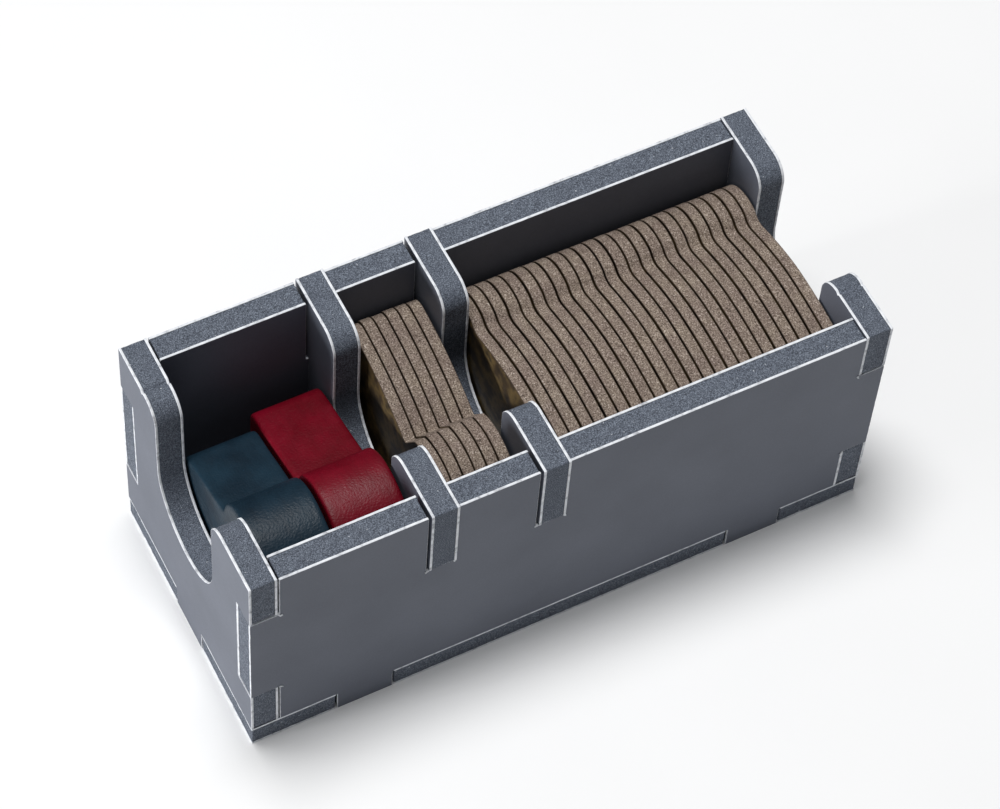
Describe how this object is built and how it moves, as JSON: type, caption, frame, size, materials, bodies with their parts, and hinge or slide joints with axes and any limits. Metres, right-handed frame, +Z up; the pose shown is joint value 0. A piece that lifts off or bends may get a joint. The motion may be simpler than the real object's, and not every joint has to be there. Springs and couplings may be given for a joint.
{
  "type": "board game component tray",
  "caption": "Foam board tray that sorts the wooden pieces and cardboard tokens of a board game, with rounded finger scoops through its ends and dividers.",
  "frame": {"origin": "middle of the tray's underside", "axes": "+X along the tray to the right, +Y from the front wall to the back wall, +Z up"},
  "size_m": [0.118, 0.0516, 0.0515],
  "materials": {
    "foam_core": "cut foam, matte, finely grained",
    "paper_liner": "smooth matte grey face, white cut edge",
    "token_board": "die-cut grey board with a printed paper face",
    "blue_painted_wood": "satin paint",
    "red_painted_wood": "satin paint"
  },
  "bodies": {
    "tray": {"back_wall_foam_core": "foam_core", "back_wall_inner_liner": "paper_liner", "back_wall_outer_liner": "paper_liner", "base_bottom_liner": "paper_liner", "base_foam_core": "foam_core", "base_top_liner": "paper_liner", "front_wall_foam_core": "foam_core", "front_wall_inner_liner": "paper_liner", "front_wall_outer_liner": "paper_liner", "left_divider_foam_core": "foam_core", "left_divider_left_liner": "paper_liner", "left_divider_right_liner": "paper_liner", "left_end_wall_foam_core": "foam_core", "left_end_wall_inner_liner": "paper_liner", "left_end_wall_outer_liner": "paper_liner", "right_divider_foam_core": "foam_core", "right_divider_left_liner": "paper_liner", "right_divider_right_liner": "paper_liner", "right_end_wall_foam_core": "foam_core", "right_end_wall_inner_liner": "paper_liner", "right_end_wall_outer_liner": "paper_liner"},
    "blue_wooden_piece_body": {"blue_wooden_piece": "blue_painted_wood"},
    "domed_token_01_body": {"domed_token_01": "token_board"},
    "domed_token_02_body": {"domed_token_02": "token_board"},
    "domed_token_03_body": {"domed_token_03": "token_board"},
    "domed_token_04_body": {"domed_token_04": "token_board"},
    "domed_token_05_body": {"domed_token_05": "token_board"},
    "domed_token_06_body": {"domed_token_06": "token_board"},
    "domed_token_07_body": {"domed_token_07": "token_board"},
    "domed_token_08_body": {"domed_token_08": "token_board"},
    "domed_token_09_body": {"domed_token_09": "token_board"},
    "domed_token_10_body": {"domed_token_10": "token_board"},
    "domed_token_11_body": {"domed_token_11": "token_board"},
    "domed_token_12_body": {"domed_token_12": "token_board"},
    "domed_token_13_body": {"domed_token_13": "token_board"},
    "domed_token_14_body": {"domed_token_14": "token_board"},
    "domed_token_15_body": {"domed_token_15": "token_board"},
    "domed_token_16_body": {"domed_token_16": "token_board"},
    "domed_token_17_body": {"domed_token_17": "token_board"},
    "domed_token_18_body": {"domed_token_18": "token_board"},
    "domed_token_19_body": {"domed_token_19": "token_board"},
    "domed_token_20_body": {"domed_token_20": "token_board"},
    "domed_token_21_body": {"domed_token_21": "token_board"},
    "domed_token_22_body": {"domed_token_22": "token_board"},
    "domed_token_23_body": {"domed_token_23": "token_board"},
    "domed_token_24_body": {"domed_token_24": "token_board"},
    "notched_token_1_body": {"notched_token_1": "token_board"},
    "notched_token_2_body": {"notched_token_2": "token_board"},
    "notched_token_3_body": {"notched_token_3": "token_board"},
    "notched_token_4_body": {"notched_token_4": "token_board"},
    "notched_token_5_body": {"notched_token_5": "token_board"},
    "notched_token_6_body": {"notched_token_6": "token_board"},
    "red_wooden_piece_body": {"red_wooden_piece": "red_painted_wood"}
  },
  "joints": [
    {"name": "blue_wooden_piece_lift", "type": "slide", "parent": "tray", "child": "blue_wooden_piece_body", "axis": [0, 0, 1], "range_m": [0, 0.05]},
    {"name": "domed_token_01_lift", "type": "slide", "parent": "tray", "child": "domed_token_01_body", "axis": [0, 0, 1], "range_m": [0, 0.05]},
    {"name": "domed_token_02_lift", "type": "slide", "parent": "tray", "child": "domed_token_02_body", "axis": [0, 0, 1], "range_m": [0, 0.05]},
    {"name": "domed_token_03_lift", "type": "slide", "parent": "tray", "child": "domed_token_03_body", "axis": [0, 0, 1], "range_m": [0, 0.05]},
    {"name": "domed_token_04_lift", "type": "slide", "parent": "tray", "child": "domed_token_04_body", "axis": [0, 0, 1], "range_m": [0, 0.05]},
    {"name": "domed_token_05_lift", "type": "slide", "parent": "tray", "child": "domed_token_05_body", "axis": [0, 0, 1], "range_m": [0, 0.05]},
    {"name": "domed_token_06_lift", "type": "slide", "parent": "tray", "child": "domed_token_06_body", "axis": [0, 0, 1], "range_m": [0, 0.05]},
    {"name": "domed_token_07_lift", "type": "slide", "parent": "tray", "child": "domed_token_07_body", "axis": [0, 0, 1], "range_m": [0, 0.05]},
    {"name": "domed_token_08_lift", "type": "slide", "parent": "tray", "child": "domed_token_08_body", "axis": [0, 0, 1], "range_m": [0, 0.05]},
    {"name": "domed_token_09_lift", "type": "slide", "parent": "tray", "child": "domed_token_09_body", "axis": [0, 0, 1], "range_m": [0, 0.05]},
    {"name": "domed_token_10_lift", "type": "slide", "parent": "tray", "child": "domed_token_10_body", "axis": [0, 0, 1], "range_m": [0, 0.05]},
    {"name": "domed_token_11_lift", "type": "slide", "parent": "tray", "child": "domed_token_11_body", "axis": [0, 0, 1], "range_m": [0, 0.05]},
    {"name": "domed_token_12_lift", "type": "slide", "parent": "tray", "child": "domed_token_12_body", "axis": [0, 0, 1], "range_m": [0, 0.05]},
    {"name": "domed_token_13_lift", "type": "slide", "parent": "tray", "child": "domed_token_13_body", "axis": [0, 0, 1], "range_m": [0, 0.05]},
    {"name": "domed_token_14_lift", "type": "slide", "parent": "tray", "child": "domed_token_14_body", "axis": [0, 0, 1], "range_m": [0, 0.05]},
    {"name": "domed_token_15_lift", "type": "slide", "parent": "tray", "child": "domed_token_15_body", "axis": [0, 0, 1], "range_m": [0, 0.05]},
    {"name": "domed_token_16_lift", "type": "slide", "parent": "tray", "child": "domed_token_16_body", "axis": [0, 0, 1], "range_m": [0, 0.05]},
    {"name": "domed_token_17_lift", "type": "slide", "parent": "tray", "child": "domed_token_17_body", "axis": [0, 0, 1], "range_m": [0, 0.05]},
    {"name": "domed_token_18_lift", "type": "slide", "parent": "tray", "child": "domed_token_18_body", "axis": [0, 0, 1], "range_m": [0, 0.05]},
    {"name": "domed_token_19_lift", "type": "slide", "parent": "tray", "child": "domed_token_19_body", "axis": [0, 0, 1], "range_m": [0, 0.05]},
    {"name": "domed_token_20_lift", "type": "slide", "parent": "tray", "child": "domed_token_20_body", "axis": [0, 0, 1], "range_m": [0, 0.05]},
    {"name": "domed_token_21_lift", "type": "slide", "parent": "tray", "child": "domed_token_21_body", "axis": [0, 0, 1], "range_m": [0, 0.05]},
    {"name": "domed_token_22_lift", "type": "slide", "parent": "tray", "child": "domed_token_22_body", "axis": [0, 0, 1], "range_m": [0, 0.05]},
    {"name": "domed_token_23_lift", "type": "slide", "parent": "tray", "child": "domed_token_23_body", "axis": [0, 0, 1], "range_m": [0, 0.05]},
    {"name": "domed_token_24_lift", "type": "slide", "parent": "tray", "child": "domed_token_24_body", "axis": [0, 0, 1], "range_m": [0, 0.05]},
    {"name": "notched_token_1_lift", "type": "slide", "parent": "tray", "child": "notched_token_1_body", "axis": [0, 0, 1], "range_m": [0, 0.05]},
    {"name": "notched_token_2_lift", "type": "slide", "parent": "tray", "child": "notched_token_2_body", "axis": [0, 0, 1], "range_m": [0, 0.05]},
    {"name": "notched_token_3_lift", "type": "slide", "parent": "tray", "child": "notched_token_3_body", "axis": [0, 0, 1], "range_m": [0, 0.05]},
    {"name": "notched_token_4_lift", "type": "slide", "parent": "tray", "child": "notched_token_4_body", "axis": [0, 0, 1], "range_m": [0, 0.05]},
    {"name": "notched_token_5_lift", "type": "slide", "parent": "tray", "child": "notched_token_5_body", "axis": [0, 0, 1], "range_m": [0, 0.05]},
    {"name": "notched_token_6_lift", "type": "slide", "parent": "tray", "child": "notched_token_6_body", "axis": [0, 0, 1], "range_m": [0, 0.05]},
    {"name": "red_wooden_piece_lift", "type": "slide", "parent": "tray", "child": "red_wooden_piece_body", "axis": [0, 0, 1], "range_m": [0, 0.05]}
  ]
}
